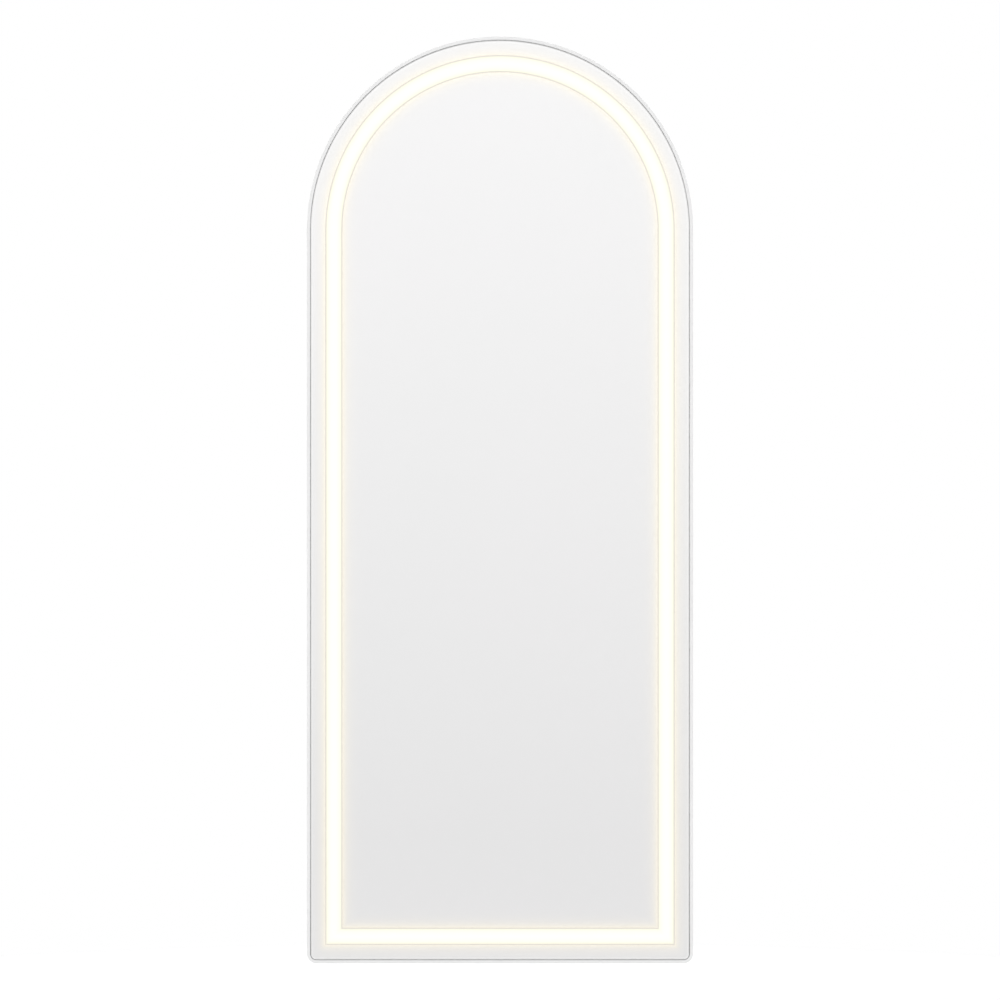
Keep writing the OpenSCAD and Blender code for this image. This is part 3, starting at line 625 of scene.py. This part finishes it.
cap_low, cap_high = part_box("button_cap")
cap_centre = (cap_low + cap_high) / 2
BRASS_BRIGHT = (0.72, 0.52, 0.22)
BRASS_DULL = (0.55, 0.37, 0.15)
FOAM = (0.12, 0.12, 0.125)
FOAM_WALL = (0.17, 0.17, 0.175)
FOAM_HOLLOW_SHADE = (0.07, 0.07, 0.075)
BOARD = (0.72, 0.72, 0.71)
BOARD_OTHER = (0.765, 0.765, 0.76)
BOARD_PORE_SHADE = (0.55, 0.55, 0.54)
SOLDER_MASK = (0.02, 0.16, 0.07)
MASK_OVER_COPPER = (0.05, 0.27, 0.12)

slot_materials = {
    "frame_paint": powder_coat("paint_frame", (0.805, 0.805, 0.805)),
    "cover_paint": powder_coat("paint_cover", (0.62, 0.62, 0.615)),
    "steel": zinc_plate("steel_zinc", (0.57, 0.58, 0.60)),
    "screw_steel": plated_hardware("steel_screws", (0.58, 0.59, 0.60)),
    "channel_metal": drawn_metal("metal_channel", (0.78, 0.79, 0.80)),
    "button_metal": spun_metal("metal_button", (0.72, 0.72, 0.71), cap_centre),
    "brass": worn_brass("metal_brass", BRASS_BRIGHT, BRASS_DULL),
    "panel_board": panel_board("board_panel", BOARD, BOARD_OTHER, BOARD_PORE_SHADE),
    "foam_tape": foam_tape("tape_foam", FOAM, FOAM_WALL, FOAM_HOLLOW_SHADE),
    "dark_rubber": soft_rubber("rubber_dark", (0.19, 0.19, 0.193)),
    "white_plastic": moulded("plastic_white", (0.76, 0.76, 0.74), 0.45),
    "dark_plastic": moulded("plastic_dark", (0.06, 0.06, 0.065), 0.5),
    "circuit_board": circuit_board("board_circuit", SOLDER_MASK, MASK_OVER_COPPER),
    "lead_sheath": cable_sheath("sheath_lead", (0.42, 0.045, 0.03)),
    "cable_sheath": cable_sheath("sheath_cable", (0.74, 0.74, 0.72)),
    "led_strip": glowing_strip("strip_lit", (0.95, 0.93, 0.86)),
    "diffuser": glowing_strip("diffuser_lit", (0.96, 0.95, 0.92)),
}
node_materials = {"edge_seal": seal_rubber("rubber_seal")}
for node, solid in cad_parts.items():
    for holder in solid.material_slots:
        slot_material = slot_materials.get(holder.material.name, holder.material)
        holder.material = node_materials.get(node, slot_material)


# Stage: world, floor, lamps and camera

# Pale room that gloss shows, lighter at the top, and the level of the world's own light
TOP_TONE = 0.975
FOOT_TONE = 0.822
TOP_HEIGHT = 0.090
FOOT_HEIGHT = -0.074
AMBIENT = 0.45

# Floor: its distance below the mirror, its radius, its colours, and its lift towards white
FLOOR_DROP = 0.2
FLOOR_R = 2.4
FLOOR_STEPS = 96
FLOOR_PALE = (0.80, 0.80, 0.80)
FLOOR_OTHER = (0.79, 0.79, 0.79)
FLOOR_LIFT = 0.36

# Lamps: name, place, side of the square in metres, power in watts
LAMPS = (
    ("key", (-5.6, -6.3, 3.4), 4.6, 440),
    ("fill", (6.3, -5.6, 1.0), 5.0, 275),
    ("back_left", (-4.9, 6.6, 2.6), 4.2, 195),
    ("back_right", (5.9, 5.6, 3.2), 4.2, 205),
)

# Camera: sensor and lens in millimetres, distance from the front and far limit in metres
SENSOR = 36
LENS = 164
CAMERA_REACH = 8.99
CLIP_END = 100


def build_world():
    """White behind the object. In gloss it is a soft pale room, a little darker below."""
    world = bpy.data.worlds.new("studio")
    bpy.context.scene.world = world
    world.use_nodes = True
    world.node_tree.nodes.clear()
    sky = Nodes(world.node_tree)
    height = sky.axes(sky.add("ShaderNodeTexCoord").outputs["Generated"])["Z"]
    room = sky.remap(height, FOOT_HEIGHT, TOP_HEIGHT, FOOT_TONE, TOP_TONE)
    in_camera, in_gloss = sky.rays()
    level = sky.blend(in_camera, sky.blend(in_gloss, AMBIENT, room), 1.0)
    background = sky.add("ShaderNodeBackground", {"Color": level})
    sky.add("ShaderNodeOutputWorld", {0: background.outputs[0]})


def floor_paint(name):
    """Pale paint that looks white and keeps the shadow, and shows as the pale room in gloss."""
    s = Shader(name, FLOOR_PALE, roughness=0.9)
    s.vary(FLOOR_PALE, FLOOR_OTHER, scale=3, detail=2)
    s.feed(0, "Specular IOR Level")
    s.feed((1, 1, 1), "Emission Color")
    in_camera, in_gloss = s.rays()
    s.feed(s.math("MULTIPLY", in_camera, FLOOR_LIFT), "Emission Strength")
    room = s.add("ShaderNodeEmission", {"Color": (FOOT_TONE, FOOT_TONE, FOOT_TONE)})
    inputs = {0: in_gloss, 1: s.bsdf.outputs[0], 2: room.outputs[0]}
    either = s.add("ShaderNodeMixShader", inputs)
    s.join(either.outputs[0], s.output.inputs["Surface"])
    return s.material


def build_floor():
    """A round floor below the mirror."""
    rim = arc(0, 0, FLOOR_R, 0, 360, FLOOR_STEPS)[:-1]
    floor = in_scene("floor", filled_curve("floor", [rim]))
    floor.location = (0, 0, FOOT - FLOOR_DROP)
    floor.data.materials.append(floor_paint("floor_pale"))


def build_lamp(name, place, side, power):
    """A soft box that looks at the middle of the mirror. It doesn't show in gloss."""
    data = bpy.data.lights.new(name, "AREA")
    data.shape = "SQUARE"
    data.size = side
    data.energy = power
    lamp = in_scene(name, data)
    lamp.location = place
    aim = Vector((0, 0, MIDDLE)) - lamp.location
    lamp.rotation_euler = aim.to_track_quat("-Z", "Y").to_euler()
    lamp.visible_glossy = False
    lamp.visible_transmission = False


def build_camera():
    """A level camera that looks square on at the middle of the mirror."""
    data = bpy.data.cameras.new("camera")
    data.sensor_width = SENSOR
    data.lens = LENS
    data.clip_end = CLIP_END
    camera = in_scene("camera", data)
    camera.location = (0, FRONT - CAMERA_REACH, MIDDLE)
    camera.rotation_euler = (math.radians(90), 0, 0)
    bpy.context.scene.camera = camera


build_world()
build_floor()
for lamp_name, place, side, power in LAMPS:
    build_lamp(lamp_name, place, side, power)
build_camera()

bpy.context.scene.view_settings.view_transform = "Standard"
